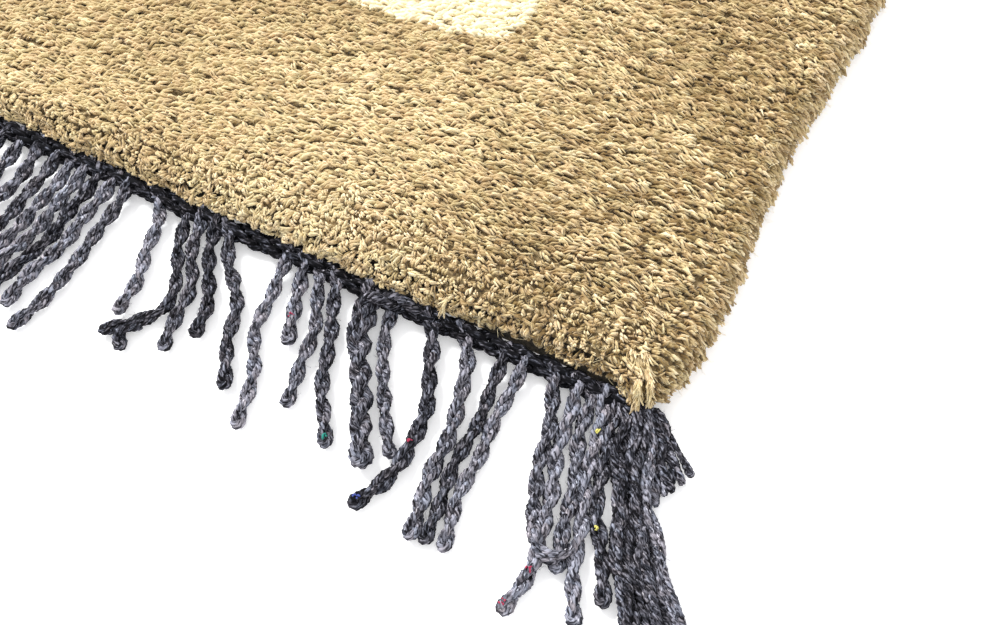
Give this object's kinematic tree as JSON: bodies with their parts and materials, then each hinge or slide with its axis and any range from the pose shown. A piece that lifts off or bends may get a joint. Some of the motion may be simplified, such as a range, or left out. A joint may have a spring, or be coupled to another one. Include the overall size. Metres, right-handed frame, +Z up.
{
  "type": "nepalese rug",
  "caption": "Flat rectangular hand-knotted wool rug with a thick cut pile, a pale medallion and a twined cord with twisted fringe strands along both short ends.",
  "frame": {"origin": "middle of the rug's flat underside, on the floor", "axes": "+X along the fringed ends, +Y along the warps from the front fringe to the back fringe, +Z up out of the pile"},
  "size_m": [0.6398, 1.0567, 0.0157],
  "materials": {
    "pile_wool": "matt cut wool pile, khaki",
    "fringe_yarn": "matt twisted yarn, charcoal with flecks"
  },
  "bodies": {
    "root": {"knotted_pile": "pile_wool", "fringe_front": "fringe_yarn", "fringe_back": "fringe_yarn"}
  },
  "joints": []
}
